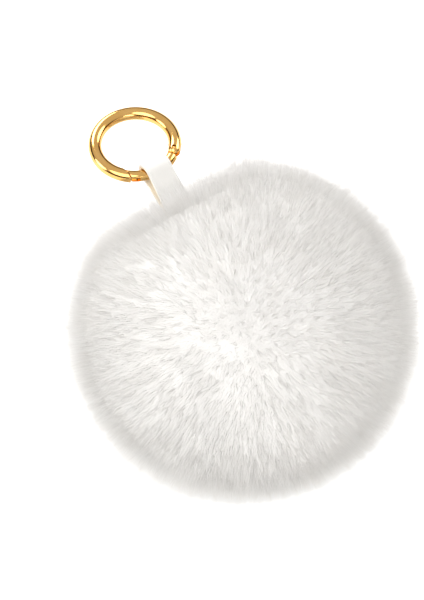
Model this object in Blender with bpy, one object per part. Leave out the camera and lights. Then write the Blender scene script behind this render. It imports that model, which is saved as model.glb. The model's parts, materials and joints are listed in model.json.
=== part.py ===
"""A plush keychain: a white fur ball on a folded strap, with a gold ring that opens at a spring gate.

Metres, +Z up. The ball stands on z = 0 with its centre over the origin, and the strap leaves it towards +Y.
"""

import math

import bmesh
import bpy
from mathutils import Matrix, Vector

# Fur ball
PILE_RADIUS = 0.065  # centre to hair tips
REST_RADIUS = 0.022  # the flat that the pile makes where the ball rests
BACKING_RADIUS = 0.038  # inside of the cover
NECK_RADIUS = 0.007  # the gathered opening that the strap comes out of
DIMPLE_DEPTH = 0.015  # how far the pile parts round the strap
DIMPLE_HALF_ANGLE = 40.0  # degrees round the strap's line
STUFFING_RADIUS = 0.0374

# Strap
STRAP_RISE = 30.4  # degrees that the strap points above level
STRAP_WIDTH = 0.010
FACE_THICKNESS = 0.0008
LINING_THICKNESS = 0.0006
LAYER_GAP = 0.0003
FOLD_RADIUS = 0.003  # inside of the loop round the gate
LEG_GAP = 0.0005  # between the two legs where they meet
FLEX_DISTANCE = 0.050  # ball centre to the line where the strap bends
LOOP_DISTANCE = 0.0666  # ball centre to the middle of the loop
TAIL_START = 0.0024  # below the bending line
TAIL_END = 0.011
TAIL_THICKNESS = 0.004
THREAD_RADIUS = 0.0004
GATHER_RADIUS = 0.0062
GATHER_DEPTH = 0.0085  # below the bending line
STITCH_DEPTH = 0.0036  # below the bending line
STITCH_PITCH = 0.0012
STITCH_TURNS = 3
STITCH_CORNER = 0.0009

# Ring, in its own plane: angles run anticlockwise from +X, and the strap's loop is near -90 degrees
RING_RADIUS = 0.015  # to the middle of the bar
BAR_RADIUS = 0.0025
GATE_BAR_RADIUS = 0.0021
SWING_OFFSET = 0.00035  # the loop's axis runs this far inside the curved gate's middle line
PIN_ANGLE = -45.0
LATCH_ANGLE = -134.0
LATCH_GAP = 0.0005
PIN_RADIUS = 0.0006
PIN_HOLE_RADIUS = 0.0009
PIN_HALF_LENGTH = 0.0022
SHOULDER_DISTANCE = 0.0029  # pin to the gate's full bar
HEEL_DISTANCE = 0.0015  # pin to the flat that the plunger presses
HEEL_HALF_WIDTH = 0.0016
TAB_HALF_THICKNESS = 0.0008
CLEVIS_HALF_GAP = 0.0011
CLEVIS_FLOOR = 0.0026
TONGUE_HALF_WIDTH = 0.0012
TONGUE_HALF_THICKNESS = 0.0007
TONGUE_LENGTH = 0.0022
NOTCH_GAP = 0.001  # beyond the tongue, so that the fork can swing clear of it
SLOT_HALF_GAP = 0.001
SLOT_CLEARANCE = 0.0003
BORE_LENGTH = 0.0070
BORE_RADIUS = 0.001
PLUNGER_RADIUS = 0.0007
PLUNGER_SPAN = (0.0018, 0.0040)
SPRING_SPAN = (0.0043, 0.0066)
SPRING_RADIUS = 0.00055
SPRING_WIRE_RADIUS = 0.00013
SPRING_TURNS = 4

# Facets
BALL_STEPS = 48
BAR_SIDES = 16
BAR_STEP = 6.0  # degrees between sections of the ring's bar
SLANT_STEP = 12.0  # a longer last step, which the slanted cut at the latch needs

BALL_HEIGHT = math.sqrt(PILE_RADIUS**2 - REST_RADIUS**2)
BALL_CENTRE = Vector((0.0, 0.0, BALL_HEIGHT))
STRAP_AXIS = Vector((0.0, math.cos(math.radians(STRAP_RISE)), math.sin(math.radians(STRAP_RISE))))
STRAP_TILT = Matrix.Rotation(math.radians(STRAP_RISE - 90.0), 4, "X")  # turns +Z onto the strap's line
FLEX_POINT = BALL_CENTRE + STRAP_AXIS * FLEX_DISTANCE
SWING_POINT = BALL_CENTRE + STRAP_AXIS * LOOP_DISTANCE
RING_CENTRE = SWING_POINT + Vector((0.0, RING_RADIUS - SWING_OFFSET, 0.0))


def polar(radius, degrees):
    """A point in the ring's plane."""
    angle = math.radians(degrees)
    return Vector((radius * math.cos(angle), radius * math.sin(angle), 0.0))


PIN_POINT = polar(RING_RADIUS, PIN_ANGLE)
BORE_TURN = math.degrees(BORE_LENGTH / RING_RADIUS / 2.0)  # a chord's lean from the bar's direction
BORE_AXIS = polar(1.0, PIN_ANGLE + 90.0 + BORE_TURN)
BORE_SIDE = polar(1.0, PIN_ANGLE + 180.0 + BORE_TURN)
LATCH_X = polar(RING_RADIUS, LATCH_ANGLE).x


def clear_scene():
    for old in list(bpy.data.objects):
        bpy.data.objects.remove(old)


def make_material(name, colour, roughness, metallic=0.0):
    material = bpy.data.materials.new(name)
    material.use_nodes = True
    shader = material.node_tree.nodes["Principled BSDF"]
    shader.inputs["Base Color"].default_value = (*colour, 1.0)
    shader.inputs["Roughness"].default_value = roughness
    shader.inputs["Metallic"].default_value = metallic
    return material


def make_object(name, mesh_builder, material, matrix, pivot=None):
    """A named object at matrix, with its origin moved to pivot, a world point, where one is given."""
    mesh = bpy.data.meshes.new(name)
    mesh_builder.normal_update()
    mesh_builder.to_mesh(mesh)
    mesh_builder.free()
    mesh.materials.append(material)
    made = bpy.data.objects.new(name, mesh)
    bpy.context.scene.collection.objects.link(made)
    place = matrix.copy()
    if pivot is not None:
        place.translation = pivot
        mesh.transform(place.inverted() @ matrix)
    made.matrix_world = place
    mesh.shade_smooth()
    mesh.set_sharp_from_angle(angle=math.radians(35.0))
    return made


def revolved(profile, steps):
    """A closed surface turned about Z from (radius, height) points that start and end on the axis."""
    bm = bmesh.new()
    rings = []
    for radius, height in profile:
        count = 1 if radius == 0.0 else steps
        ring = [
            bm.verts.new((radius * math.cos(math.tau * i / steps), radius * math.sin(math.tau * i / steps), height))
            for i in range(count)
        ]
        rings.append(ring)
    for lower, upper in zip(rings, rings[1:]):
        for i in range(steps):
            j = (i + 1) % steps
            corners = [lower[i % len(lower)], lower[j % len(lower)], upper[j % len(upper)], upper[i % len(upper)]]
            bm.faces.new(dict.fromkeys(corners))
    bmesh.ops.recalc_face_normals(bm, faces=bm.faces)
    return bm


def prism(outline, half_thickness):
    """A flat plate with an outline in the ring's plane."""
    bm = bmesh.new()
    bottom = [bm.verts.new((p.x, p.y, -half_thickness)) for p in outline]
    top = [bm.verts.new((p.x, p.y, half_thickness)) for p in outline]
    bm.faces.new(reversed(bottom))
    bm.faces.new(top)
    for i in range(len(outline)):
        j = (i + 1) % len(outline)
        bm.faces.new((bottom[i], bottom[j], top[j], top[i]))
    bmesh.ops.recalc_face_normals(bm, faces=bm.faces)
    return bm


def rod(start, end, radius, sides):
    """A straight round rod with flat ends."""
    bm = bmesh.new()
    along = end - start
    place = Matrix.Translation((start + end) / 2.0) @ along.to_track_quat("Z", "Y").to_matrix().to_4x4()
    bmesh.ops.create_cone(
        bm, cap_ends=True, segments=sides, radius1=radius, radius2=radius, depth=along.length, matrix=place
    )
    return bm


def tube_sections(points, radius, sides):
    """Round sections square to a path at each of its points."""
    sections = []
    turn = None
    last = None
    for i, point in enumerate(points):
        along = (points[min(i + 1, len(points) - 1)] - points[max(i - 1, 0)]).normalized()
        if turn is None:
            turn = along.to_track_quat("Z", "Y")
        else:
            turn = last.rotation_difference(along) @ turn
        last = along
        angles = [math.tau * k / sides for k in range(sides)]
        sections.append([point + turn @ Vector((radius * math.cos(a), radius * math.sin(a), 0.0)) for a in angles])
    return sections


def swept(sections):
    """A closed bar through sections of equal counts of points, with flat ends."""
    bm = bmesh.new()
    rings = [[bm.verts.new(p) for p in section] for section in sections]
    for near, far in zip(rings, rings[1:]):
        for i in range(len(near)):
            j = (i + 1) % len(near)
            bm.faces.new((near[i], near[j], far[j], far[i]))
    bm.faces.new(rings[0])
    bm.faces.new(rings[-1])
    bmesh.ops.recalc_face_normals(bm, faces=bm.faces)
    return bm


def bar_section(degrees, radius, along=0.0, cut_x=None):
    """One round section of the ring's bar, moved along the bar, or slid along it to the plane x = cut_x."""
    outward = polar(1.0, degrees)
    tangent = polar(1.0, degrees + 90.0)
    points = []
    for i in range(BAR_SIDES):
        angle = math.tau * (i + 0.5) / BAR_SIDES
        offset = outward * math.cos(angle) + Vector((0.0, 0.0, math.sin(angle)))
        point = outward * RING_RADIUS + offset * radius + tangent * along
        if cut_x is not None:
            point += tangent * ((cut_x - point.x) / tangent.x)
        points.append(point)
    return points


def add_boolean(target, operation, cutter):
    """Joins or cuts target with a guide body that isn't a part itself."""
    cutter.hide_render = True
    cutter.display_type = "WIRE"
    modifier = target.modifiers.new(cutter.name, "BOOLEAN")
    modifier.operation = operation
    modifier.object = cutter


def pile_radius(degrees):
    """The pile's outer radius at an angle from the strap's line, where the fur parts into a dimple."""
    if degrees >= DIMPLE_HALF_ANGLE:
        return PILE_RADIUS
    return PILE_RADIUS - DIMPLE_DEPTH * math.cos(math.pi / 2.0 * degrees / DIMPLE_HALF_ANGLE) ** 2


def make_fur_cover(material):
    """Backing and pile together: a thick ball, open at the neck and flat where it rests."""
    neck_angle = math.degrees(math.asin(NECK_RADIUS / (PILE_RADIUS - DIMPLE_DEPTH)))
    neck_inside = math.degrees(math.asin(NECK_RADIUS / BACKING_RADIUS))
    profile = []
    inner_steps = BALL_STEPS // 4
    for i in range(inner_steps + 1):
        angle = math.radians(180.0 + (neck_inside - 180.0) * i / inner_steps)
        profile.append((BACKING_RADIUS * math.sin(angle), BACKING_RADIUS * math.cos(angle)))
    profile[0] = (0.0, -BACKING_RADIUS)
    dimple_steps = 10
    dimple = [neck_angle + (DIMPLE_HALF_ANGLE - neck_angle) * i / dimple_steps for i in range(dimple_steps)]
    outer_steps = BALL_STEPS * 5 // 12
    rest = [DIMPLE_HALF_ANGLE + (180.0 - DIMPLE_HALF_ANGLE) * i / outer_steps for i in range(outer_steps)]
    for degrees in dimple + rest:
        radius = pile_radius(degrees)
        angle = math.radians(degrees)
        profile.append((radius * math.sin(angle), radius * math.cos(angle)))
    profile.append((0.0, -PILE_RADIUS))
    place = Matrix.Translation(BALL_CENTRE) @ STRAP_TILT
    cover = make_object("fur_cover", revolved(profile, BALL_STEPS), material, place)
    floor = bmesh.new()
    bmesh.ops.create_cube(floor, size=2.0 * PILE_RADIUS)
    below = Matrix.Translation((0.0, 0.0, -PILE_RADIUS))
    add_boolean(cover, "DIFFERENCE", make_object("floor_guide", floor, material, below))


def make_stuffing(material):
    ball = bmesh.new()
    bmesh.ops.create_uvsphere(ball, u_segments=BALL_STEPS // 2, v_segments=BALL_STEPS // 4, radius=STUFFING_RADIUS)
    make_object("stuffing", ball, material, Matrix.Translation(BALL_CENTRE))


def make_gather_thread(material):
    """The thread that draws the cover's edge together round the strap, with its knot."""
    sections = []
    turns = 32
    for i in range(turns):
        around = math.tau * i / turns
        outward = Vector((math.cos(around), math.sin(around), 0.0))
        ring = []
        for k in range(8):
            angle = math.tau * k / 8
            reach = GATHER_RADIUS + THREAD_RADIUS * math.cos(angle)
            ring.append(outward * reach + Vector((0.0, 0.0, THREAD_RADIUS * math.sin(angle))))
        sections.append(ring)
    bm = bmesh.new()
    rings = [[bm.verts.new(p) for p in section] for section in sections]
    for i, near in enumerate(rings):
        far = rings[(i + 1) % turns]
        for k in range(8):
            n = (k + 1) % 8
            bm.faces.new((near[k], near[n], far[n], far[k]))
    bmesh.ops.recalc_face_normals(bm, faces=bm.faces)
    place = Matrix.Translation(FLEX_POINT - STRAP_AXIS * GATHER_DEPTH) @ STRAP_TILT
    thread = make_object("gather_thread", bm, material, place)
    knot = bmesh.new()
    knot_place = Matrix.Translation((0.0, -GATHER_RADIUS + THREAD_RADIUS, 0.0))
    bmesh.ops.create_uvsphere(knot, u_segments=10, v_segments=6, radius=2.2 * THREAD_RADIUS, matrix=knot_place)
    add_boolean(thread, "UNION", make_object("knot_guide", knot, material, place))


def make_strap_tails(material):
    """The strap's two ends, glued together inside the neck."""
    block = bmesh.new()
    size = Matrix.Diagonal((STRAP_WIDTH, TAIL_THICKNESS, TAIL_END - TAIL_START, 1.0))
    bmesh.ops.create_cube(block, size=1.0, matrix=size)
    middle = FLEX_POINT - STRAP_AXIS * (TAIL_START + TAIL_END) / 2.0
    make_object("strap_tails", block, material, Matrix.Translation(middle) @ STRAP_TILT)


def make_strap_stitches(material):
    """The thread whipped round the strap's ends, which binds them together."""
    clear = THREAD_RADIUS + LAYER_GAP
    across = STRAP_WIDTH / 2.0 + clear - STITCH_CORNER
    deep = TAIL_THICKNESS / 2.0 + clear - STITCH_CORNER
    corners = ((across, deep), (-across, deep), (-across, -deep), (across, -deep))
    corner_steps = 3
    path = []
    for turn in range(STITCH_TURNS):
        for quarter, (x, y) in enumerate(corners):
            for k in range(corner_steps + 1):
                angle = math.pi / 2.0 * (quarter + k / corner_steps)
                wound = turn + (quarter + k / (corner_steps + 1)) / 4.0
                height = -STITCH_DEPTH - STITCH_PITCH * wound
                path.append(Vector((x + STITCH_CORNER * math.cos(angle), y + STITCH_CORNER * math.sin(angle), height)))
    thread = swept(tube_sections(path, THREAD_RADIUS, 6))
    make_object("strap_stitches", thread, material, Matrix.Translation(FLEX_POINT) @ STRAP_TILT)


def loop_line(offset):
    """One surface of the strap in (across, along) from the loop's middle: leg, fold and leg."""
    leg_end = FLEX_DISTANCE - LOOP_DISTANCE + LAYER_GAP
    reach = math.hypot(leg_end, LEG_GAP / 2.0)
    lean = math.asin(FOLD_RADIUS / reach) - math.atan2(LEG_GAP / 2.0, -leg_end)
    leg_length = math.sqrt(reach**2 - FOLD_RADIUS**2)
    radius = FOLD_RADIUS + offset
    fold_steps = 16
    fold = [math.pi / 2.0 + lean - (math.pi + 2.0 * lean) * i / fold_steps for i in range(fold_steps + 1)]
    line = [(radius * math.sin(a), radius * math.cos(a)) for a in fold]
    first = (line[0][0] - leg_length * math.sin(lean), line[0][1] - leg_length * math.cos(lean))
    last = (-first[0], first[1])
    return [first, *line, last]


def make_strap_layer(name, inside, outside, material):
    """One layer of the folded strap, between two distances from its inner surface."""
    half = STRAP_WIDTH / 2.0
    sections = []
    for near, far in zip(loop_line(inside), loop_line(outside)):
        sections.append(
            [
                Vector((-half, near[0], near[1])),
                Vector((half, near[0], near[1])),
                Vector((half, far[0], far[1])),
                Vector((-half, far[0], far[1])),
            ]
        )
    place = Matrix.Translation(SWING_POINT) @ STRAP_TILT
    make_object(name, swept(sections), material, place, pivot=FLEX_POINT)


def make_ring_body(material):
    """The fixed part of the ring: a round bar with a clevis for the gate and a tongue for its latch."""
    sections = []
    cap_steps = 4
    for i in range(cap_steps):
        angle = math.pi / 2.0 * (cap_steps - i - 0.5) / cap_steps
        sections.append(bar_section(PIN_ANGLE, BAR_RADIUS * math.cos(angle), -BAR_RADIUS * math.sin(angle)))
    turn = 360.0 + LATCH_ANGLE - SLANT_STEP - PIN_ANGLE
    steps = round(turn / BAR_STEP)
    sections += [bar_section(PIN_ANGLE + turn * i / steps, BAR_RADIUS) for i in range(steps + 1)]
    sections.append(bar_section(LATCH_ANGLE, BAR_RADIUS, cut_x=LATCH_X))
    place = Matrix.Translation(RING_CENTRE)
    pivot = RING_CENTRE + PIN_POINT
    body = make_object("ring_body", swept(sections), material, place, pivot)

    tongue = make_object("tongue_guide", prism(tongue_outline(), TONGUE_HALF_THICKNESS), material, place)
    add_boolean(body, "UNION", tongue)
    wide = 2.0 * BAR_RADIUS
    clevis = [
        PIN_POINT + BORE_AXIS * along + BORE_SIDE * across
        for along, across in ((-wide, -wide), (CLEVIS_FLOOR, -wide), (CLEVIS_FLOOR, wide), (-wide, wide))
    ]
    add_boolean(body, "DIFFERENCE", make_object("clevis_guide", prism(clevis, CLEVIS_HALF_GAP), material, place))
    add_boolean(body, "DIFFERENCE", pin_hole("clevis_hole_guide", material))
    bore = rod(PIN_POINT, PIN_POINT + BORE_AXIS * BORE_LENGTH, BORE_RADIUS, 12)
    add_boolean(body, "DIFFERENCE", make_object("bore_guide", bore, material, place))


def tongue_outline():
    """The tongue on the ring's latch end: two arcs from inside the bar to a straight tip."""
    inner = RING_RADIUS - TONGUE_HALF_WIDTH
    outer = RING_RADIUS + TONGUE_HALF_WIDTH
    tip_x = LATCH_X + TONGUE_LENGTH
    root = LATCH_ANGLE - SLANT_STEP / 2.0
    return latch_arc(inner, tip_x, root) + latch_arc(outer, tip_x, root)[::-1]


def latch_arc(radius, tip_x, root):
    """Points at one radius from the angle root to the plane x = tip_x, below the ring's centre."""
    tip = -math.degrees(math.acos(tip_x / radius))
    return [polar(radius, root + (tip - root) * i / 4) for i in range(5)]


def pin_hole(name, material):
    """The hole that the hinge pin runs in."""
    reach = Vector((0.0, 0.0, 2.0 * BAR_RADIUS))
    return make_object(
        name, rod(PIN_POINT - reach, PIN_POINT + reach, PIN_HOLE_RADIUS, 16), material, Matrix.Translation(RING_CENTRE)
    )


def make_gate(material):
    """The curved gate: a thinner bar with a tab on the pin and a fork that closes over the tongue."""
    shoulder = PIN_ANGLE - math.degrees(math.asin(SHOULDER_DISTANCE / RING_RADIUS))
    cut_x = LATCH_X + LATCH_GAP
    end = -math.degrees(math.acos(cut_x / RING_RADIUS))
    turn = end + SLANT_STEP - shoulder
    steps = round(-turn / BAR_STEP)
    sections = [bar_section(shoulder + turn * i / steps, GATE_BAR_RADIUS) for i in range(steps + 1)]
    sections.append(bar_section(end, GATE_BAR_RADIUS, cut_x=cut_x))
    place = Matrix.Translation(RING_CENTRE)
    gate = make_object("gate", swept(sections), material, place, pivot=SWING_POINT)

    tab_root = shoulder - BAR_STEP
    tab = [
        PIN_POINT + BORE_AXIS * HEEL_DISTANCE - BORE_SIDE * HEEL_HALF_WIDTH,
        PIN_POINT + BORE_AXIS * HEEL_DISTANCE + BORE_SIDE * HEEL_HALF_WIDTH,
        polar(RING_RADIUS - HEEL_HALF_WIDTH, tab_root),
        polar(RING_RADIUS + HEEL_HALF_WIDTH, tab_root),
    ]
    add_boolean(gate, "UNION", make_object("tab_guide", prism(tab, TAB_HALF_THICKNESS), material, place))
    add_boolean(gate, "DIFFERENCE", pin_hole("tab_hole_guide", material))
    floor_x = LATCH_X + TONGUE_LENGTH + NOTCH_GAP
    web = RING_RADIUS - TONGUE_HALF_WIDTH - SLOT_CLEARANCE
    outside = Vector((floor_x, -2.0 * RING_RADIUS, 0.0))
    slot = [*latch_arc(web, floor_x, LATCH_ANGLE - SLANT_STEP), outside, Vector((2.0 * LATCH_X, outside.y, 0.0))]
    add_boolean(gate, "DIFFERENCE", make_object("slot_guide", prism(slot, SLOT_HALF_GAP), material, place))


def make_hinge_pin(material):
    reach = Vector((0.0, 0.0, PIN_HALF_LENGTH))
    pin = rod(PIN_POINT - reach, PIN_POINT + reach, PIN_RADIUS, 12)
    make_object("hinge_pin", pin, material, Matrix.Translation(RING_CENTRE), RING_CENTRE + PIN_POINT)


def make_gate_plunger(material):
    """The plunger that presses the gate's heel, sliding in the ring's bore."""
    start, end = (PIN_POINT + BORE_AXIS * along for along in PLUNGER_SPAN)
    plunger = rod(start, end, PLUNGER_RADIUS, 12)
    make_object("gate_plunger", plunger, material, Matrix.Translation(RING_CENTRE), RING_CENTRE + start)


def make_gate_spring(material):
    """The small coil spring behind the plunger."""
    start, end = SPRING_SPAN
    points_per_turn = 12
    count = SPRING_TURNS * points_per_turn
    rise = (end - start - 2.0 * SPRING_WIRE_RADIUS) / count
    path = []
    for i in range(count + 1):
        angle = math.tau * i / points_per_turn
        height = SPRING_WIRE_RADIUS + rise * i
        path.append(Vector((SPRING_RADIUS * math.cos(angle), SPRING_RADIUS * math.sin(angle), height)))
    foot = RING_CENTRE + PIN_POINT + BORE_AXIS * start
    place = Matrix.Translation(foot) @ BORE_AXIS.to_track_quat("Z", "Y").to_matrix().to_4x4()
    make_object("gate_spring", swept(tube_sections(path, SPRING_WIRE_RADIUS, 6)), material, place)


def main():
    clear_scene()
    fur = make_material("fur", (0.86, 0.85, 0.82), 0.9)
    fibre = make_material("fibre", (0.90, 0.90, 0.88), 0.95)
    thread = make_material("thread", (0.85, 0.83, 0.78), 0.7)
    strap_white = make_material("strap_white", (0.84, 0.82, 0.78), 0.45)
    strap_cream = make_material("strap_cream", (0.80, 0.72, 0.58), 0.7)
    gold = make_material("gold", (0.83, 0.60, 0.25), 0.16, 1.0)
    steel = make_material("steel", (0.55, 0.55, 0.56), 0.3, 1.0)
    make_fur_cover(fur)
    make_stuffing(fibre)
    make_gather_thread(thread)
    make_strap_tails(strap_white)
    make_strap_stitches(thread)
    lining_top = LINING_THICKNESS
    face_bottom = LINING_THICKNESS + LAYER_GAP
    make_strap_layer("strap_lining", 0.0, lining_top, strap_cream)
    make_strap_layer("strap_face", face_bottom, face_bottom + FACE_THICKNESS, strap_white)
    make_ring_body(gold)
    make_gate(gold)
    make_hinge_pin(gold)
    make_gate_plunger(steel)
    make_gate_spring(steel)


main()
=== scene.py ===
"""A white fur ball on a folded strap, with a gold spring-gate ring: the looks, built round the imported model.

Metres, +Z up. The ball rests on z = 0 and the strap leaves it towards +Y.
"""

import json
import math

import bmesh
import bpy
import numpy as np
from mathutils import Matrix, Vector
from mathutils.kdtree import KDTree

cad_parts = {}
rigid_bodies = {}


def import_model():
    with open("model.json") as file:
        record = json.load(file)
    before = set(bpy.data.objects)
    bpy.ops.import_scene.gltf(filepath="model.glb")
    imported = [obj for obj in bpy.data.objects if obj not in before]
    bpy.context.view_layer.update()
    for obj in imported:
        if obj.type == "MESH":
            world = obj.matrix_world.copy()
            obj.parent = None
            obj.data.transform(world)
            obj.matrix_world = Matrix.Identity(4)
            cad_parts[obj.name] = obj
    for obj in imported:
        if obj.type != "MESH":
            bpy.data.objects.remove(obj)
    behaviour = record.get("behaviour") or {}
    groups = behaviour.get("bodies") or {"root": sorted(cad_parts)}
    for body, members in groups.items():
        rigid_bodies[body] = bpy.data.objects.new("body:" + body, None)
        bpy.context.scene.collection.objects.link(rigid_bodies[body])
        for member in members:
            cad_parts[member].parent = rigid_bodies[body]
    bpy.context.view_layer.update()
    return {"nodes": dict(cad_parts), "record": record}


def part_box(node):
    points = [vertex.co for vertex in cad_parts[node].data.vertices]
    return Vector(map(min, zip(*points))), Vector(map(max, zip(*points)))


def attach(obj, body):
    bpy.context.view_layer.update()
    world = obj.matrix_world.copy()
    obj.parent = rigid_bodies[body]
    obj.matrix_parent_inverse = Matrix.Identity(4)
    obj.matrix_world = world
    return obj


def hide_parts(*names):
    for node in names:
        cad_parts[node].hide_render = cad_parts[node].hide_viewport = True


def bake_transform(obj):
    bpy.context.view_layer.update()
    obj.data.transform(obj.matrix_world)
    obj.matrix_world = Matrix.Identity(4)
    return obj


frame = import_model()

# Places read from the frame
JOINTS = {joint["name"]: joint for joint in frame["record"]["behaviour"]["joints"]}
COVER_LOW, COVER_HIGH = (Vector(corner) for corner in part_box("fur_cover"))
RING_LOW, RING_HIGH = (Vector(corner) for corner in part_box("ring_body"))
BALL_RADIUS = (COVER_HIGH.x - COVER_LOW.x) / 2.0
BALL_CENTRE = Vector((0.0, 0.0, COVER_HIGH.z - BALL_RADIUS))
FLEX_POINT = Vector(JOINTS["strap_flex"]["pos_m"])
SWING_POINT = Vector(JOINTS["ring_swing"]["pos_m"])
PIN_CENTRE = Vector(JOINTS["gate_hinge"]["pos_m"])
STRAP_AXIS = (SWING_POINT - FLEX_POINT).normalized()
STRAP_TILT = Matrix.Rotation(math.asin(STRAP_AXIS.z) - math.pi / 2.0, 4, "X")  # +Z onto the strap's line
RING_OUTER = (RING_HIGH.x - RING_LOW.x) / 2.0
RING_CENTRE = Vector((0.0, RING_HIGH.y - RING_OUTER, (RING_LOW.z + RING_HIGH.z) / 2.0))

# Fur
COAT_RADIUS = 0.0588  # the dense wool that the longer hair stands out of
COAT_STEPS = 96
COAT_LUMP = 0.0002
COAT_FLOOR = 0.002
ROOT_DEPTH = 0.0004
PARTING_ANGLE = math.radians(38.0)  # how far round the strap the fur parts
PARTING_DEPTH = 0.0148
PILE_LENGTH = 0.0126
OBLATENESS = 0.91  # the ball sags a little under its own weight
UNDERPILE_LAYERS = 3
UNDERPILE_SPACING = 0.00164
PILE_LAYERS = 6
PILE_SPACING = 0.00147
LOCK_LAYERS = 2
LOCK_SPACING = 0.0032
DARTS = 400000  # tries for an evenly spaced root
HAIRS_PER_TUFT = 8
SPIKE_POINTS = 4  # root triangle and tip
HAIR_POINTS = 7  # root triangle, middle triangle and tip
FIRST_STRAND_SEED = 50
MIDDLE_RAISE = 0.03
MIDDLE_TAPER = 0.85
TUFT_LEAN = 0.05
LOCK_LEAN = 0.17
SHORT_UNRULY = 0.05
FULL_UNRULY = 0.1
LOCK_UNRULY = 0.6

# Each kind of tuft, in hair lengths: shortest, longest, spread, root radius, lean and bow
SHORT_TUFT = (0.35, 0.80, 0.17, 0.0015, 0.11, 0.0)
FULL_TUFT = (0.58, 0.94, 0.16, 0.0017, 0.075, 0.025)
LOCK_TUFT = (0.70, 0.99, 0.075, 0.0038, 0.06, 0.06)

# How the pile lies: waves and the most that they move a tip
SWEEP_WAVE = 0.045
SWEEP = 0.0012
STREAM_WAVE = 0.014
STREAM = 0.0006
STREAM_UNRULY = 0.0018  # added for unruly hair
CLUMP_WAVE = 0.0060
CLUMP = 0.00012
STRAND_WAVE = 0.0030
STRAND = 0.00008
LONG_WAVE = 0.016
LONG_UNEVEN = 0.045  # share of the hair's length
SHORT_WAVE = 0.007
SHORT_UNEVEN = 0.030
SWEEP_CURVE = 1.6
CLUMP_CURVE = 1.2
TALLEST_RISE = 1.5

# Where the fur is kept off the strap and the floor
STRAP_SIDE_ROOM = 0.0004
STRAP_FACE_ROOM = 0.0023
STRAP_ROOM_GROWTH = 0.14
STRAP_ROOM_START = 0.050
STRAP_ROOM_REACH = 0.02
FLOOR_SQUASH = 0.009  # hair below this height is pressed flat
FLOOR_DEPTH = 0.003  # how far below the floor the hair would reach
FLOOR_GAP = 0.0003
FLOOR_SPREAD = 0.35

# What the planter is given
PLANTER_INPUTS = (
    ("Roots", "NodeSocketGeometry"),
    ("Centre", "NodeSocketVector"),
    ("Tufts", "NodeSocketCollection"),
    ("Seed", "NodeSocketInt"),
    ("Hair length", "NodeSocketFloat"),
    ("Lean", "NodeSocketFloat"),
    ("Finish", "NodeSocketMaterial"),
)

# Filling
FILLING_ROOM = 0.0015  # between the fibre and its cover

# Hair colours
PALE_WHITE = (0.985, 0.976, 0.962)
FULL_WHITE = (1.0, 0.996, 0.988)
PILE_TONE = 0.985
GUARD_TONE = 0.89
LIGHT_THROUGH_HAIR = 0.6

# Strap
STRAP_WIDTH = 0.010
LINING_THICKNESS = 0.0006
FACE_THICKNESS = 0.0011
FOLD_RADIUS = 0.003
LEG_GAP = 0.0005
TAIL_LENGTH = 0.0105
LAYER_SEAM = 0.00002
LINING_INSET = 0.0001
LINING_EDGE = 0.0001
FACE_EDGE = 0.00035
LINE_DEPTH = 0.00012
LINE_INSET = 0.0011
LINE_HALF_WIDTH = 0.00022

# Ring
BAR_RADIUS = 0.0025
GATE_BAR_RADIUS = 0.0021
RING_RADIUS = 0.015
BODY_END = 232.0
GATE_END = -142.0
LATCH_ANGLE = -134.0
LATCH_GAP = 0.0005
TONGUE_LENGTH = 0.0022
TONGUE_ROOT = 6.0
NOTCH_GAP = 0.001
SLOT_WALL_GAP = 0.0003
SLOT_ROOT = 12.0
TONGUE_HALF_WIDTH = 0.0012
TONGUE_HALF_THICKNESS = 0.0007
SLOT_HALF_GAP = 0.001
PIN_HOLE_RADIUS = 0.0009
SHOULDER_DISTANCE = 0.0029
HEEL_DISTANCE = 0.0015
HEEL_HALF_WIDTH = 0.0016
TAB_HALF_THICKNESS = 0.0008
TAB_ROOT = 6.0
CLEVIS_HALF_GAP = 0.0011
CLEVIS_FLOOR = 0.0026
BORE_LENGTH = 0.0070
BORE_RADIUS = 0.001
BAR_SIDES = 40
BAR_STEP = 2.5
END_STEPS = 10
PIN_DOME = 0.00025
PIN_SIDES = 24
EDGE_BREAK = 0.00012

# Studio: the surroundings' level in bands from the horizon (0) to straight up (1)
STUDIO_BANDS = (
    (0.0, 0.45),
    (0.03, 0.07),
    (0.33, 0.07),
    (0.45, 0.70),
    (0.99, 0.80),
)
FLOOR_REACH = 12.0

# Softboxes: name, place, width and power
SOFTBOXES = (
    ("key", (-0.75, -0.30, 1.05), 1.1, 7.0),
    ("right", (1.05, -0.05, 0.70), 0.8, 6.6),
    ("left", (-1.10, 0.55, 0.50), 0.7, 4.9),
    ("front", (-0.35, -1.15, 0.45), 0.7, 5.7),
    ("back", (0.10, 1.15, 0.75), 0.7, 8.5),
)

# Camera
CAMERA_AZIMUTH = math.radians(-34.0)
CAMERA_ELEVATION = math.radians(56.0)
CAMERA_DISTANCE = 0.75
VIEW_HEIGHT = 0.2235  # what the frame's height spans at the ball
VIEW_ACROSS = -0.0114  # where the view is centred, from the ball's centre
VIEW_UP = 0.0100


# ---------------------------------------------------------------- materials


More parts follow.
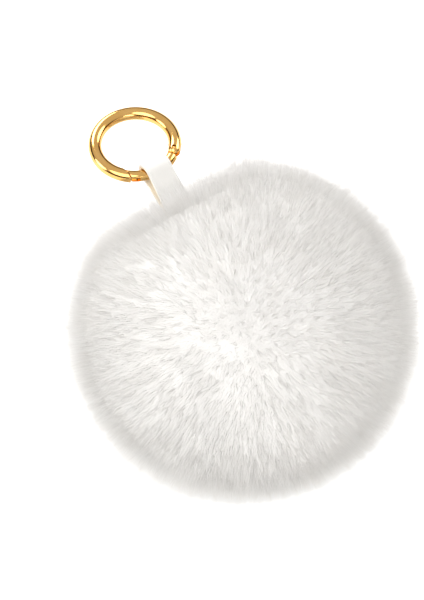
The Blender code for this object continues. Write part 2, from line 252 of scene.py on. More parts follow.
class Finish:
    """A material's nodes, with short ways to add and join them."""

    def __init__(self, name):
        self.material = bpy.data.materials.new(name)
        self.material.use_nodes = True
        self.tree = self.material.node_tree
        self.shader = self.tree.nodes["Principled BSDF"]
        self.place = self.tree.nodes.new("ShaderNodeTexCoord").outputs["Object"]

    def node(self, kind, **inputs):
        made = self.tree.nodes.new(kind)
        for name, value in inputs.items():
            made.inputs[name.replace("_", " ")].default_value = value
        return made

    def join(self, source, target):
        self.tree.links.new(source, target)

    def noise(self, scale, detail=4.0, roughness=0.5):
        made = self.node("ShaderNodeTexNoise", Scale=scale, Detail=detail, Roughness=roughness)
        self.join(self.place, made.inputs["Vector"])
        return made.outputs["Fac"]

    def colour(self, source, low, high, ends=(0.3, 0.7)):
        """A base colour that goes from low to high as source passes between the ends."""
        made = self.node("ShaderNodeValToRGB")
        for element, position, shade in zip(made.color_ramp.elements, ends, (low, high)):
            element.position = position
            element.color = (*shade, 1.0)
        self.join(source, made.inputs["Fac"])
        self.join(made.outputs["Color"], self.shader.inputs["Base Color"])
        return made.outputs["Color"]

    def rough(self, source, low, high):
        """A roughness that goes from low to high with source."""
        made = self.node("ShaderNodeMapRange", To_Min=low, To_Max=high)
        self.join(source, made.inputs["Value"])
        self.join(made.outputs["Result"], self.shader.inputs["Roughness"])

    def bump(self, source, distance, strength=1.0):
        made = self.node("ShaderNodeBump", Strength=strength, Distance=distance)
        self.join(source, made.inputs["Height"])
        self.join(made.outputs["Normal"], self.shader.inputs["Normal"])

    def let_light_through(self, colour, share):
        """Mixes in light that passes through thin fibre."""
        through = self.tree.nodes.new("ShaderNodeBsdfTranslucent")
        self.join(colour, through.inputs["Color"])
        mixed = self.tree.nodes.new("ShaderNodeMixShader")
        mixed.inputs["Fac"].default_value = share
        self.join(self.shader.outputs[0], mixed.inputs[1])
        self.join(through.outputs[0], mixed.inputs[2])
        self.join(mixed.outputs[0], self.tree.nodes["Material Output"].inputs["Surface"])

    def settings(self, **values):
        for name, value in values.items():
            self.shader.inputs[name.replace("_", " ")].default_value = value


def pile_finish(name, tone):
    """Fine white fibre that lets light through, a little different from place to place."""
    finish = Finish(name)
    drift = finish.noise(90.0, 3.0)
    pale = [tone * share for share in PALE_WHITE]
    white = [tone * share for share in FULL_WHITE]
    colour = finish.colour(drift, pale, white)
    finish.rough(finish.noise(400.0, 2.0), 0.55, 0.85)
    finish.settings(Specular_IOR_Level=0.15)
    finish.let_light_through(colour, LIGHT_THROUGH_HAIR)
    return finish.material


def underfur_finish():
    """The dense wool at the roots of the pile."""
    finish = Finish("white_underfur")
    drift = finish.noise(60.0, 5.0)
    finish.colour(drift, (0.96, 0.95, 0.935), (0.985, 0.98, 0.97))
    finish.rough(drift, 0.7, 0.95)
    finish.bump(finish.noise(1400.0, 6.0, 0.7), 0.0003)
    finish.settings(Specular_IOR_Level=0.1)
    return finish.material


def face_finish():
    """Smooth white PU with a very fine grain."""
    finish = Finish("strap_white_pu")
    cloud = finish.noise(240.0, 4.0)
    finish.colour(cloud, (0.735, 0.725, 0.70), (0.765, 0.755, 0.73))
    grain = finish.node("ShaderNodeTexVoronoi", Scale=2600.0)
    finish.join(finish.place, grain.inputs["Vector"])
    finish.rough(finish.noise(900.0, 3.0), 0.38, 0.55)
    finish.bump(grain.outputs["Distance"], 0.00006, 0.5)
    finish.settings(Coat_Weight=0.12, Coat_Roughness=0.3, Specular_IOR_Level=0.45)
    return finish.material


def lining_finish():
    """The strap's cream backing, a close fibre board."""
    finish = Finish("strap_cream_lining")
    fibre = finish.noise(1500.0, 5.0, 0.7)
    finish.colour(fibre, (0.78, 0.69, 0.54), (0.87, 0.80, 0.66))
    finish.rough(fibre, 0.65, 0.85)
    finish.bump(fibre, 0.00008, 0.6)
    return finish.material


def gold_finish():
    """Polished light gold plate, with faint handling marks."""
    finish = Finish("light_gold_plate")
    drift = finish.noise(180.0, 3.0)
    finish.colour(drift, (0.77, 0.445, 0.135), (0.83, 0.51, 0.18))
    marks = finish.noise(900.0, 8.0, 0.65)
    finish.rough(marks, 0.06, 0.16)
    finish.bump(finish.noise(260.0, 2.0), 0.00002, 0.35)
    finish.settings(Metallic=1.0)
    return finish.material


def steel_finish():
    """Drawn spring steel."""
    finish = Finish("drawn_steel")
    streak = finish.noise(700.0, 4.0)
    finish.colour(streak, (0.46, 0.46, 0.47), (0.60, 0.60, 0.61))
    finish.rough(streak, 0.25, 0.42)
    finish.settings(Metallic=1.0)
    return finish.material


def thread_finish():
    """Twisted cream sewing thread."""
    finish = Finish("sewing_thread")
    twist = finish.node("ShaderNodeTexWave", Scale=900.0, Distortion=1.5, Detail=2.0)
    finish.join(finish.place, twist.inputs["Vector"])
    finish.colour(twist.outputs["Fac"], (0.78, 0.75, 0.69), (0.90, 0.88, 0.84), (0.2, 0.8))
    finish.rough(twist.outputs["Fac"], 0.55, 0.75)
    finish.bump(twist.outputs["Fac"], 0.00008, 0.7)
    return finish.material


def fibre_finish():
    """Loose polyester filling."""
    finish = Finish("filling_fibre")
    tangle = finish.noise(500.0, 7.0, 0.7)
    finish.colour(tangle, (0.86, 0.86, 0.85), (0.95, 0.95, 0.94))
    finish.rough(tangle, 0.85, 1.0)
    finish.bump(tangle, 0.0006)
    return finish.material


def floor_finish():
    """A pale light table."""
    finish = Finish("pale_floor")
    cloud = finish.noise(3.0, 2.0)
    finish.colour(cloud, (0.90, 0.90, 0.895), (0.92, 0.92, 0.915))
    finish.rough(cloud, 0.75, 0.85)
    finish.settings(Emission_Color=(1.0, 1.0, 1.0, 1.0), Emission_Strength=0.3, Specular_IOR_Level=0.1)
    return finish.material


# ---------------------------------------------------------------- mesh helpers


def new_object(name, mesh, material=None, angle=40.0):
    """An object at the origin for a finished mesh."""
    if material is not None:
        mesh.materials.clear()
        mesh.materials.append(material)
    made = bpy.data.objects.new(name, mesh)
    bpy.context.scene.collection.objects.link(made)
    mesh.shade_smooth()
    mesh.set_sharp_from_angle(angle=math.radians(angle))
    return made


def mesh_from(name, builder, matrix=None):
    """A mesh from a bmesh, put in place by matrix."""
    mesh = bpy.data.meshes.new(name)
    if matrix is not None:
        builder.transform(matrix)
    bmesh.ops.recalc_face_normals(builder, faces=builder.faces)
    builder.to_mesh(mesh)
    builder.free()
    return mesh


def swept(sections):
    """A bar with closed ends through sections of equal counts of points."""
    bm = bmesh.new()
    rings = [[bm.verts.new(point) for point in section] for section in sections]
    for near, far in zip(rings, rings[1:]):
        for i in range(len(near)):
            j = (i + 1) % len(near)
            bm.faces.new((near[i], near[j], far[j], far[i]))
    bm.faces.new(rings[0])
    bm.faces.new(rings[-1])
    return bm


def applied(target):
    """The object's mesh with its modifiers applied, in the same object."""
    graph = bpy.context.evaluated_depsgraph_get()
    finished = bpy.data.meshes.new_from_object(target.evaluated_get(graph))
    target.modifiers.clear()
    target.data = finished
    return target


def cut_or_join(target, operation, builder, matrix):
    """Cuts target with a guide body, or joins the guide to it."""
    guide = bpy.data.objects.new("guide", mesh_from("guide", builder, matrix))
    bpy.context.scene.collection.objects.link(guide)
    modifier = target.modifiers.new("guide", "BOOLEAN")
    modifier.operation = operation
    modifier.object = guide
    applied(target)
    bpy.data.objects.remove(guide)


# ---------------------------------------------------------------- fur


def strap_frame(points):
    """Points as (across, beside, along) from the ball's centre, along being the strap's line."""
    turn = np.array(STRAP_TILT.to_3x3().inverted())
    return (points - np.array(BALL_CENTRE)) @ turn.T


def world_frame(points):
    """Points given as strap_frame gives them, back in the world."""
    turn = np.array(STRAP_TILT.to_3x3())
    return points @ turn.T + np.array(BALL_CENTRE)


def parting(outward):
    """How far the fur is drawn in along each direction from the ball's centre, because of the strap."""
    angle = np.arccos(np.clip(outward @ np.array(STRAP_AXIS), -1.0, 1.0))
    near = np.clip(angle / PARTING_ANGLE, 0.0, 1.0)
    return PARTING_DEPTH * np.cos(near * math.pi / 2.0) ** 2


class Ripples:
    """A smooth random field: a fixed sum of plane waves, and its slope."""

    def __init__(self, seed, wavelength, count=24):
        rng = np.random.default_rng(seed)
        directions = rng.normal(size=(count, 3))
        directions /= np.linalg.norm(directions, axis=1, keepdims=True)
        self.waves = directions * (math.tau / wavelength) * rng.uniform(0.7, 1.3, (count, 1))
        self.phases = rng.uniform(0.0, math.tau, count)
        self.scale = math.sqrt(2.0 / count)

    def height(self, points):
        return np.sin(points @ self.waves.T + self.phases).sum(axis=-1) * self.scale

    def slope(self, points):
        """The field's slope as a vector of about unit size."""
        steep = np.cos(points @ self.waves.T + self.phases)
        unit = self.waves / np.linalg.norm(self.waves, axis=1, keepdims=True)
        return steep @ unit * self.scale


def coat_shape(name):
    """A ball drawn in round the strap, lumpy like gathered wool, and pressed where it rests."""
    ball = bmesh.new()
    bmesh.ops.create_uvsphere(ball, u_segments=2 * COAT_STEPS, v_segments=COAT_STEPS, radius=1.0)
    mesh = mesh_from(name, ball, STRAP_TILT)
    points = np.empty(len(mesh.vertices) * 3)
    mesh.vertices.foreach_get("co", points)
    outward = points.reshape(-1, 3)
    surface = outward * COAT_RADIUS
    lumps = Ripples(3, 0.009).height(surface) + 0.6 * Ripples(4, 0.004).height(surface)
    reach = COAT_RADIUS - parting(outward) + COAT_LUMP * lumps
    placed = outward * reach[:, None] * np.array((1.0, 1.0, OBLATENESS)) + np.array(BALL_CENTRE)
    placed[:, 2] = np.maximum(placed[:, 2], COAT_FLOOR)
    mesh.vertices.foreach_set("co", placed.ravel())
    mesh.update()
    return mesh


def hair_tuft(name, seed, shortest, longest, spread, root_radius, lean, bow):
    """A tuft of hairs: each has a root triangle, a bent middle where it bows, and a fine tip."""
    rng = np.random.default_rng(seed)
    points = []
    faces = []
    for _ in range(HAIRS_PER_TUFT):
        start = len(points)
        turn = rng.uniform(0.0, math.tau)
        root = np.array((math.cos(turn), math.sin(turn), 0.0)) * spread * math.sqrt(rng.uniform())
        length = rng.uniform(shortest, longest)
        tip = root + length * np.array((*rng.normal(0.0, lean, 2), 1.0))
        joints = [(root, root_radius)]
        if bow:
            middle = (root + tip) / 2.0 + np.array((*rng.normal(0.0, bow, 2), MIDDLE_RAISE))
            joints.append((middle, root_radius * MIDDLE_TAPER))
        for centre, radius in joints:
            for k in range(3):
                side = math.tau * k / 3.0 + turn
                points.append(centre + radius * np.array((math.cos(side), math.sin(side), 0.0)))
        points.append(tip)
        last = start + 3 * (len(joints) - 1)
        for k in range(3):
            n = (k + 1) % 3
            if bow:
                faces.append((start + k, start + n, last + n, last + k))
            faces.append((last + k, last + n, last + 3))
        faces.append((start + 2, start + 1, start))
    mesh = bpy.data.meshes.new(name)
    mesh.from_pydata([tuple(point) for point in points], [], faces)
    return bpy.data.objects.new(name, mesh)


def tuft_planter():
    """Geometry nodes that plant a tuft at each root, out from the centre, leaning and turned."""
    tree = bpy.data.node_groups.new("plant_tufts", "GeometryNodeTree")
    sockets = tree.interface
    for name, kind in PLANTER_INPUTS:
        sockets.new_socket(name, in_out="INPUT", socket_type=kind)
    sockets.new_socket("Pile", in_out="OUTPUT", socket_type="NodeSocketGeometry")
    nodes = tree.nodes
    links = tree.links
    given = nodes.new("NodeGroupInput").outputs
    from_centre = nodes.new("ShaderNodeVectorMath")
    from_centre.operation = "SUBTRACT"
    links.new(nodes.new("GeometryNodeInputPosition").outputs[0], from_centre.inputs[0])
    links.new(given["Centre"], from_centre.inputs[1])
    outward = nodes.new("ShaderNodeVectorMath")
    outward.operation = "NORMALIZE"
    links.new(from_centre.outputs[0], outward.inputs[0])

    lean = nodes.new("FunctionNodeRandomValue")
    lean.data_type = "FLOAT_VECTOR"
    lean.inputs["Min"].default_value = (-1.0, -1.0, -1.0)
    links.new(given["Seed"], lean.inputs["Seed"])
    lean_size = nodes.new("ShaderNodeVectorMath")
    lean_size.operation = "SCALE"
    links.new(lean.outputs["Value"], lean_size.inputs[0])
    links.new(given["Lean"], lean_size.inputs["Scale"])
    direction = nodes.new("ShaderNodeVectorMath")
    links.new(outward.outputs[0], direction.inputs[0])
    links.new(lean_size.outputs[0], direction.inputs[1])
    upright = nodes.new("FunctionNodeAlignRotationToVector")
    links.new(direction.outputs[0], upright.inputs["Vector"])

    spin = nodes.new("FunctionNodeRandomValue")
    spin.inputs[3].default_value = math.tau
    links.new(given["Seed"], spin.inputs["Seed"])
    about = nodes.new("FunctionNodeAxisAngleToRotation")
    about.inputs["Axis"].default_value = (0.0, 0.0, 1.0)
    links.new(spin.outputs[1], about.inputs["Angle"])
    turned = nodes.new("FunctionNodeRotateRotation")
    turned.rotation_space = "LOCAL"
    links.new(upright.outputs[0], turned.inputs[0])
    links.new(about.outputs[0], turned.inputs[1])

    tufts = nodes.new("GeometryNodeCollectionInfo")
    tufts.inputs["Separate Children"].default_value = True
    tufts.inputs["Reset Children"].default_value = True
    links.new(given["Tufts"], tufts.inputs["Collection"])
    planted = nodes.new("GeometryNodeInstanceOnPoints")
    planted.inputs["Pick Instance"].default_value = True
    links.new(given["Roots"], planted.inputs["Points"])
    links.new(tufts.outputs[0], planted.inputs["Instance"])
    links.new(turned.outputs[0], planted.inputs["Rotation"])
    links.new(given["Hair length"], planted.inputs["Scale"])
    real = nodes.new("GeometryNodeRealizeInstances")
    links.new(planted.outputs[0], real.inputs[0])
    finish = nodes.new("GeometryNodeSetMaterial")
    links.new(real.outputs[0], finish.inputs["Geometry"])
    links.new(given["Finish"], finish.inputs["Material"])
    links.new(finish.outputs[0], nodes.new("NodeGroupOutput").inputs["Pile"])
    return tree


def even_roots(seed, spacing):
    """Points spread over the ball no closer than spacing, kept from darts thrown in a fixed order."""
    rng = np.random.default_rng(seed)
    darts = rng.normal(size=(DARTS, 3))
    darts *= (COAT_RADIUS - ROOT_DEPTH) / np.linalg.norm(darts, axis=1, keepdims=True)
    places = darts.tolist()
    tree = KDTree(DARTS)
    for i, place in enumerate(places):
        tree.insert(place, i)
    tree.balance()
    taken = bytearray(DARTS)
    roots = []
    for i, place in enumerate(places):
        if not taken[i]:
            roots.append(place)
            for _, near, _ in tree.find_range(place, spacing):
                taken[near] = 1
    return np.array(roots) + np.array(BALL_CENTRE)


def plant(roots, tree, **values):
    """The mesh that the planter makes at a set of roots, with its inputs set by name."""
    points = bpy.data.meshes.new("roots")
    points.from_pydata(roots.tolist(), [], [])
    carrier = bpy.data.objects.new("carrier", points)
    bpy.context.scene.collection.objects.link(carrier)
    modifier = carrier.modifiers.new("plant", "NODES")
    modifier.node_group = tree
    for item in tree.interface.items_tree:
        name = item.name.replace(" ", "_").lower()
        if item.in_out == "INPUT" and name in values:
            modifier[item.identifier] = values[name]
    applied(carrier)
    mesh = carrier.data
    bpy.data.objects.remove(carrier)
    return mesh


def comb(mesh, hair_points, seed, unruly):
    """Combs a planted layer: it lies in drifts, parts round the strap and presses flat on the floor."""
    points = np.empty(len(mesh.vertices) * 3)
    mesh.vertices.foreach_get("co", points)
    hairs = points.reshape(-1, hair_points, 3)
    centre = np.array(BALL_CENTRE)
    sag = np.array((1.0, 1.0, OBLATENESS))
    level = np.array((1.0, 1.0, 0.0))
    outward = hairs - centre
    reach = np.linalg.norm(outward, axis=2, keepdims=True)
    outward = outward / reach
    root_outward = outward[:, :1]
    rise = np.clip((reach - COAT_RADIUS) / PILE_LENGTH, 0.0, TALLEST_RISE)
    root = root_outward * COAT_RADIUS
    long_wave = LONG_UNEVEN * Ripples(14, LONG_WAVE).height(root)[..., None]
    short_wave = SHORT_UNEVEN * Ripples(15, SHORT_WAVE).height(root)[..., None]
    uneven = 1.0 + long_wave + short_wave
    reach = COAT_RADIUS + (reach - COAT_RADIUS) * uneven
    outward = outward * sag
    drawn_in = parting(root_outward)[..., None] * (1.0 - unruly * np.clip(rise, 0.0, 1.0))
    sweep = Ripples(11, SWEEP_WAVE).slope(root) * SWEEP
    stream = Ripples(12, STREAM_WAVE).slope(root) * (STREAM + STREAM_UNRULY * unruly)
    clump = Ripples(13, CLUMP_WAVE).slope(root) * CLUMP
    strand = Ripples(seed, STRAND_WAVE).slope(root) * STRAND
    hairs = centre + outward * (reach - drawn_in)
    hairs = hairs + (sweep + stream) * rise**SWEEP_CURVE + (clump + strand) * rise**CLUMP_CURVE

    local = strap_frame(hairs)
    wide = STRAP_WIDTH / 2.0 + STRAP_SIDE_ROOM
    above = np.clip(local[..., 2] - STRAP_ROOM_START, 0.0, STRAP_ROOM_REACH)
    deep = STRAP_FACE_ROOM + STRAP_ROOM_GROWTH * above
    inside = (np.abs(local[..., 0]) < wide) & (np.abs(local[..., 1]) < deep) & (local[..., 2] > 0.0)
    local[..., 1] = np.where(inside, np.where(local[..., 1] < 0.0, -deep, deep), local[..., 1])
    hairs = world_frame(local)

    low = hairs[..., 2]
    share = np.clip(low + FLOOR_DEPTH, 0.0, None) / (FLOOR_SQUASH + FLOOR_DEPTH)
    flat = FLOOR_GAP + share * (FLOOR_SQUASH - FLOOR_GAP)
    pressed = low < FLOOR_SQUASH
    push = np.where(pressed, (FLOOR_SQUASH - low) * FLOOR_SPREAD, 0.0)[..., None]
    hairs = hairs + outward * level * push
    hairs[..., 2] = np.where(pressed, flat, hairs[..., 2])
    mesh.vertices.foreach_set("co", hairs.ravel())
    mesh.update()


def tuft_set(name, count, seed, shape):
    """A collection of a few tufts of one shape, to plant from."""
    made = bpy.data.collections.new(name)
    for i in range(count):
        made.objects.link(hair_tuft(f"{name}_{i}", seed + i, *shape))
    return made


def discard(tufts):
    """Removes the tufts once they are planted."""
    for tuft in list(tufts.objects):
        bpy.data.objects.remove(tuft)
    bpy.data.collections.remove(tufts)


def make_fur():
    """The underfur, the short underpile and the long pile over it."""
    soft = pile_finish("white_pile", PILE_TONE)
    guard = pile_finish("white_guard_hair", GUARD_TONE)
    coat = new_object("underfur", coat_shape("underfur"), underfur_finish(), 180.0)
    pieces = [coat]
    short = tuft_set("short", 5, 20, SHORT_TUFT)
    full = tuft_set("full", 6, 40, FULL_TUFT)
    locks = tuft_set("locks", 5, 60, LOCK_TUFT)
    planter = tuft_planter()
    kinds = (
        (short, soft, UNDERPILE_SPACING, UNDERPILE_LAYERS, SPIKE_POINTS, TUFT_LEAN, SHORT_UNRULY),
        (full, soft, PILE_SPACING, PILE_LAYERS, HAIR_POINTS, TUFT_LEAN, FULL_UNRULY),
        (locks, guard, LOCK_SPACING, LOCK_LAYERS, HAIR_POINTS, LOCK_LEAN, LOCK_UNRULY),
    )
    for seed, (tufts, finish, spacing, layers, hair_points, lean, unruly) in enumerate(kinds, 1):
        roots = even_roots(seed, spacing)
        for turn in range(layers):
            layer = plant(
                roots[turn::layers],
                planter,
                centre=tuple(BALL_CENTRE),
                tufts=tufts,
                seed=10 * seed + turn,
                hair_length=PILE_LENGTH,
                lean=lean,
                finish=finish,
            )
            comb(layer, hair_points, FIRST_STRAND_SEED + len(pieces), unruly)
            pieces.append(new_object(f"pile_{len(pieces)}", layer, angle=180.0))
    for tufts in (short, full, locks):
        discard(tufts)
    for piece in pieces:
        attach(piece, "fur_ball")
        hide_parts("fur_cover")


def make_stuffing():
    """The filling: a loose ball of fibre, never perfectly round."""
    low, high = (Vector(corner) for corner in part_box("stuffing"))
    radius = (high.x - low.x) / 2.0
    ball = bmesh.new()
    bmesh.ops.create_icosphere(ball, subdivisions=5, radius=1.0)
    mesh = mesh_from("fibre_filling", ball)
    points = np.empty(len(mesh.vertices) * 3)
    mesh.vertices.foreach_get("co", points)
    outward = points.reshape(-1, 3)
    surface = outward * radius
    lumps = Ripples(7, 0.02).height(surface) * 0.0005 + Ripples(8, 0.006).height(surface) * 0.0003
    placed = outward * (radius - FILLING_ROOM + lumps)[:, None] + np.array((low + high) / 2.0)
    mesh.vertices.foreach_set("co", placed.ravel())
    filling = new_object("fibre_filling", mesh, fibre_finish(), 180.0)
    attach(filling, "fur_ball")
    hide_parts("stuffing")


# ---------------------------------------------------------------- strap


def strap_line(offset):
    """One surface of the strap as (beside, along) from the loop's middle: tail, leg, fold, leg and tail."""
    leg_end = -(SWING_POINT - FLEX_POINT).length
    reach = math.hypot(leg_end, LEG_GAP / 2.0)
    lean = math.asin(FOLD_RADIUS / reach) - math.atan2(LEG_GAP / 2.0, -leg_end)
    leg = math.sqrt(reach**2 - FOLD_RADIUS**2)
    radius = FOLD_RADIUS + offset
    fold_steps = 40
    leg_steps = 14
    tail_steps = 6
    side = []
    for i in range(fold_steps // 2 + 1):
        angle = (math.pi / 2.0 + lean) * i / (fold_steps // 2)
        side.append((radius * math.sin(angle), radius * math.cos(angle)))
    top = side[-1]
    for i in range(1, leg_steps + 1):
        down = leg * i / leg_steps
        side.append((top[0] - down * math.sin(lean), top[1] - down * math.cos(lean)))
    end = side[-1]
    for i in range(1, tail_steps + 1):
        side.append((end[0], end[1] - TAIL_LENGTH * i / tail_steps))
    return [(-beside, along) for beside, along in reversed(side)] + side[1:]


def strap_section(near, far, outline):
    """One cross-section from (across, depth) points, with depth 0 on the near line and 1 on the far line."""
    section = []
    for across, depth in outline:
        beside = near[0] + (far[0] - near[0]) * depth
        along = near[1] + (far[1] - near[1]) * depth
        section.append(Vector((across, beside, along)))
    return section


def rounded_band(half, thickness, edge, groove=0.0):
    """A flat band's outline as (across, depth) with rounded edges and a pressed line along both edges."""
    outline = []
    corners = ((half, 1.0, 0.0), (-half, 1.0, 90.0), (-half, 0.0, 180.0), (half, 0.0, 270.0))
    for across, depth, turn in corners:
        inner_x = across - math.copysign(edge, across)
        inner_y = depth * thickness - math.copysign(edge, depth - 0.5)
        for k in range(4):
            angle = math.radians(turn + 30.0 * k)
            outline.append((inner_x + edge * math.cos(angle), (inner_y + edge * math.sin(angle)) / thickness))
        if depth == 1.0 and groove and across > 0.0:
            for x, dip in pressed_line(half):
                outline.append((x, 1.0 - dip * groove / thickness))
    return outline


def pressed_line(half):
    """Both pressed lines on the face as (across, depth share), with flat points between them."""
    line = half - LINE_INSET
    right = [(line + LINE_HALF_WIDTH, 0.0), (line, 1.0), (line - LINE_HALF_WIDTH, 0.0)]
    middle = [(half * share, 0.0) for share in (0.5, 0.25, 0.0, -0.25, -0.5)]
    left = [(-x, dip) for x, dip in reversed(right)]
    return right + middle + left


def make_strap_layer(name, inside, outside, outline, material):
    """One layer of the folded strap, with its tails in the neck."""
    lines = zip(strap_line(inside), strap_line(outside))
    sections = [strap_section(near, far, outline) for near, far in lines]
    place = Matrix.Translation(SWING_POINT) @ STRAP_TILT
    layer = new_object(name, mesh_from(name, swept(sections), place), material)
    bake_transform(layer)
    return layer


def make_strap():
    """The cream lining and the white face over it."""
    half = STRAP_WIDTH / 2.0
    lining_band = rounded_band(half - LINING_INSET, LINING_THICKNESS, LINING_EDGE)
    lining = make_strap_layer("strap_inner", 0.0, LINING_THICKNESS, lining_band, lining_finish())
    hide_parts("strap_lining")
    face = make_strap_layer(
        "strap_outer",
        LINING_THICKNESS + LAYER_SEAM,
        LINING_THICKNESS + FACE_THICKNESS,
        rounded_band(half, FACE_THICKNESS - LAYER_SEAM, FACE_EDGE, LINE_DEPTH),
        face_finish(),
    )
    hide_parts("strap_face", "strap_tails")


# ---------------------------------------------------------------- ring


def polar(radius, degrees):
    """A point in the ring's plane, from its centre."""
    angle = math.radians(degrees)
    return Vector((radius * math.cos(angle), radius * math.sin(angle), 0.0))


PIN_POINT = PIN_CENTRE - RING_CENTRE
PIN_ANGLE = math.degrees(math.atan2(PIN_POINT.y, PIN_POINT.x))
BORE_TURN = math.degrees(BORE_LENGTH / RING_RADIUS / 2.0)
BORE_AXIS = polar(1.0, PIN_ANGLE + 90.0 + BORE_TURN)
BORE_SIDE = polar(1.0, PIN_ANGLE + 180.0 + BORE_TURN)
LATCH_X = polar(RING_RADIUS, LATCH_ANGLE).x
RING_PLACE = Matrix.Translation(RING_CENTRE)


def bar_section(degrees, radius, along=0.0):
    """One round section of the ring's bar."""
    outward = polar(1.0, degrees)
    tangent = polar(1.0, degrees + 90.0)
    points = []
    for i in range(BAR_SIDES):
        angle = math.tau * i / BAR_SIDES
        offset = outward * math.cos(angle) + Vector((0.0, 0.0, math.sin(angle)))
        points.append(outward * RING_RADIUS + offset * radius + tangent * along)
    return points


def bar(start, end, radius, round_start=False):
    """A curved bar between two angles, rounded over at its start where asked."""
    sections = []
    if round_start:
        for i in range(END_STEPS):
            angle = math.pi / 2.0 * (END_STEPS - 0.4 - i) / END_STEPS
            sections.append(bar_section(start, radius * math.cos(angle), -radius * math.sin(angle)))
    steps = max(1, round(abs(end - start) / BAR_STEP))
    sections += [bar_section(start + (end - start) * i / steps, radius) for i in range(steps + 1)]
    return swept(sections)


def plate(outline, half_thickness):
    """A flat plate with an outline in the ring's plane."""
    bm = bmesh.new()
    base = bm.faces.new([bm.verts.new((p.x, p.y, -half_thickness)) for p in outline])
    grown = bmesh.ops.extrude_face_region(bm, geom=[base])
    top = [item for item in grown["geom"] if isinstance(item, bmesh.types.BMVert)]
    bmesh.ops.translate(bm, verts=top, vec=(0.0, 0.0, 2.0 * half_thickness))
    return bm


def rod(start, end, radius, sides=24):
    """A straight round rod."""
    bm = bmesh.new()
    along = end - start
    place = Matrix.Translation((start + end) / 2.0) @ along.to_track_quat("Z", "Y").to_matrix().to_4x4()
    bmesh.ops.create_cone(
        bm, cap_ends=True, segments=sides, radius1=radius, radius2=radius, depth=along.length, matrix=place
    )
    return bm


def latch_arc(radius, tip_x, root):
    """Points at one radius from the angle root to the plane x = tip_x, below the ring's centre."""
    tip = -math.degrees(math.acos(tip_x / radius))
    return [polar(radius, root + (tip - root) * i / 12) for i in range(13)]


def latch_block(low_x, high_x):
    """The space beside the latch between two planes across X."""
    y_low = -2.0 * RING_RADIUS
    y_high = -0.3 * RING_RADIUS
    corners = ((low_x, y_low), (high_x, y_low), (high_x, y_high), (low_x, y_high))
    return plate([Vector((x, y, 0.0)) for x, y in corners], 2.0 * BAR_RADIUS)


def pin_hole():
    """A rod as long as the ring is thick, and more, for cutting the hole."""
    reach = Vector((0.0, 0.0, 2.0 * BAR_RADIUS))
    return rod(PIN_POINT - reach, PIN_POINT + reach, PIN_HOLE_RADIUS)


def break_edges(piece):
    """Takes the sharpness off the cut edges, as plating does."""
    bevel = piece.modifiers.new("edges", "BEVEL")
    bevel.width = EDGE_BREAK
    bevel.segments = 2
    bevel.limit_method = "ANGLE"
    bevel.angle_limit = math.radians(50.0)
    bevel.use_clamp_overlap = True
    return applied(piece)


def make_ring_body(material):
    """The fixed part of the ring, with its clevis, latch face and tongue."""
    round_bar = bar(PIN_ANGLE, BODY_END, BAR_RADIUS, True)
    body = new_object("gold_ring", mesh_from("gold_ring", round_bar, RING_PLACE))
    cut_or_join(body, "DIFFERENCE", latch_block(LATCH_X, 0.0), RING_PLACE)
    inner = RING_RADIUS - TONGUE_HALF_WIDTH
    outer = RING_RADIUS + TONGUE_HALF_WIDTH
    tip_x = LATCH_X + TONGUE_LENGTH
    root = LATCH_ANGLE - TONGUE_ROOT
    tongue = latch_arc(inner, tip_x, root) + latch_arc(outer, tip_x, root)[::-1]
    cut_or_join(body, "UNION", plate(tongue, TONGUE_HALF_THICKNESS), RING_PLACE)
    wide = 2.0 * BAR_RADIUS
    clevis = [
        PIN_POINT + BORE_AXIS * along + BORE_SIDE * across
        for along, across in ((-wide, -wide), (CLEVIS_FLOOR, -wide), (CLEVIS_FLOOR, wide), (-wide, wide))
    ]
    cut_or_join(body, "DIFFERENCE", plate(clevis, CLEVIS_HALF_GAP), RING_PLACE)
    cut_or_join(body, "DIFFERENCE", pin_hole(), RING_PLACE)
    bore = rod(PIN_POINT, PIN_POINT + BORE_AXIS * BORE_LENGTH, BORE_RADIUS)
    cut_or_join(body, "DIFFERENCE", bore, RING_PLACE)
    finish_metal(body, material, "ring", "ring_body")


def make_gate(material):
    """The gate: a thinner bar with a tab on the pin and a fork over the tongue."""
    shoulder = PIN_ANGLE - math.degrees(math.asin(SHOULDER_DISTANCE / RING_RADIUS))
    thin_bar = bar(shoulder, GATE_END, GATE_BAR_RADIUS)
    gate = new_object("gold_gate", mesh_from("gold_gate", thin_bar, RING_PLACE))
    cut_or_join(gate, "DIFFERENCE", latch_block(2.0 * LATCH_X, LATCH_X + LATCH_GAP), RING_PLACE)
    tab_root = shoulder - TAB_ROOT
    tab = [
        PIN_POINT + BORE_AXIS * HEEL_DISTANCE - BORE_SIDE * HEEL_HALF_WIDTH,
        PIN_POINT + BORE_AXIS * HEEL_DISTANCE + BORE_SIDE * HEEL_HALF_WIDTH,
        polar(RING_RADIUS - HEEL_HALF_WIDTH, tab_root),
        polar(RING_RADIUS + HEEL_HALF_WIDTH, tab_root),
    ]
    cut_or_join(gate, "UNION", plate(tab, TAB_HALF_THICKNESS), RING_PLACE)
    cut_or_join(gate, "DIFFERENCE", pin_hole(), RING_PLACE)
    floor_x = LATCH_X + TONGUE_LENGTH + NOTCH_GAP
    web = RING_RADIUS - TONGUE_HALF_WIDTH - SLOT_WALL_GAP
    outside = Vector((floor_x, -2.0 * RING_RADIUS, 0.0))
    corner = Vector((2.0 * LATCH_X, outside.y, 0.0))
    slot = [*latch_arc(web, floor_x, LATCH_ANGLE - SLOT_ROOT), outside, corner]
    cut_or_join(gate, "DIFFERENCE", plate(slot, SLOT_HALF_GAP), RING_PLACE)
    finish_metal(gate, material, "gate", "gate")


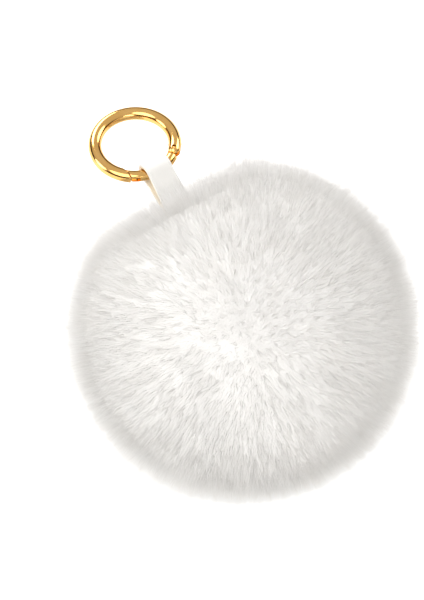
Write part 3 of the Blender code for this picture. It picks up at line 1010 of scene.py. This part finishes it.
def make_pin(material):
    """The hinge pin, with a low dome at each end."""
    low, high = (Vector(corner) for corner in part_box("hinge_pin"))
    radius = (high.x - low.x) / 2.0
    half = (high.z - low.z) / 2.0
    top = [(radius * share, half - PIN_DOME * share**2) for share in (1.0, 0.8, 0.5, 0.2)]
    bottom = [(reach, -height) for reach, height in reversed(top)]
    sections = []
    for reach, height in bottom + top:
        angles = [math.tau * k / PIN_SIDES for k in range(PIN_SIDES)]
        sections.append([Vector((reach * math.cos(a), reach * math.sin(a), height)) for a in angles])
    place = Matrix.Translation(PIN_CENTRE)
    pin = new_object("gold_pin", mesh_from("gold_pin", swept(sections), place))
    finish_metal(pin, material, "ring", "hinge_pin", broken=False)


def finish_metal(piece, material, body, node, broken=True):
    """Softens the edges, gives the finish and hands the piece to its body."""
    if broken:
        break_edges(piece)
    piece.data.materials.clear()
    piece.data.materials.append(material)
    piece.data.shade_smooth()
    piece.data.set_sharp_from_angle(angle=math.radians(32.0))
    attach(piece, body)
    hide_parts(node)


def finish_hidden_nodes():
    """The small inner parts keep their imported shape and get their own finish."""
    steel = steel_finish()
    thread = thread_finish()
    for node, material in (
        ("gate_plunger", steel),
        ("gate_spring", steel),
        ("gather_thread", thread),
        ("strap_stitches", thread),
    ):
        for slot in frame["nodes"][node].material_slots:
            slot.material = material


# ---------------------------------------------------------------- stage


def make_stage():
    """A pale floor, pale surroundings and soft lights on every side."""
    bm = bmesh.new()
    bmesh.ops.create_grid(bm, x_segments=1, y_segments=1, size=FLOOR_REACH)
    new_object("floor", mesh_from("floor", bm), floor_finish())

    world = bpy.data.worlds.new("studio")
    bpy.context.scene.world = world
    world.use_nodes = True
    tree = world.node_tree
    direction = tree.nodes.new("ShaderNodeTexCoord")
    parts = tree.nodes.new("ShaderNodeSeparateXYZ")
    height = tree.nodes.new("ShaderNodeValToRGB")
    bands = height.color_ramp
    for position, level in STUDIO_BANDS:
        element = bands.elements[0] if position == 0.0 else bands.elements.new(position)
        element.color = (level, level**1.08, level**1.18, 1.0)  # darker is warmer
    bands.elements.remove(bands.elements[-1])
    tree.links.new(direction.outputs["Generated"], parts.inputs[0])
    tree.links.new(parts.outputs["Z"], height.inputs["Fac"])
    tree.links.new(height.outputs["Color"], tree.nodes["Background"].inputs["Color"])
    tree.nodes["Background"].inputs["Strength"].default_value = 1.0

    for name, place, size, power in SOFTBOXES:
        add_softbox(name, Vector(place), size, power)


def add_softbox(name, place, size, power):
    """A round soft light that faces the ball."""
    light = bpy.data.lights.new(name, "AREA")
    light.shape = "DISK"
    light.size = size
    light.energy = power
    lamp = bpy.data.objects.new(name, light)
    lamp.location = place
    lamp.rotation_euler = (place - BALL_CENTRE).to_track_quat("Z", "Y").to_euler()
    lamp.visible_camera = False
    bpy.context.scene.collection.objects.link(lamp)


def make_camera():
    """Looks down on the ball from the side away from the strap."""
    level = math.cos(CAMERA_ELEVATION)
    back = Vector(
        (
            math.sin(CAMERA_AZIMUTH) * level,
            -math.cos(CAMERA_AZIMUTH) * level,
            math.sin(CAMERA_ELEVATION),
        )
    )
    turn = back.to_track_quat("Z", "Y")
    target = BALL_CENTRE + turn @ Vector((VIEW_ACROSS, VIEW_UP, 0.0))
    data = bpy.data.cameras.new("camera")
    data.sensor_fit = "VERTICAL"
    data.angle = 2.0 * math.atan(VIEW_HEIGHT / 2.0 / CAMERA_DISTANCE)
    camera = bpy.data.objects.new("camera", data)
    camera.location = target + back * CAMERA_DISTANCE
    camera.rotation_euler = turn.to_euler()
    bpy.context.scene.collection.objects.link(camera)
    bpy.context.scene.camera = camera
    bpy.context.scene.view_settings.view_transform = "Standard"


make_camera()
make_stage()
gold = gold_finish()
make_ring_body(gold)
make_gate(gold)
make_pin(gold)
make_strap()
make_stuffing()
finish_hidden_nodes()
make_fur()
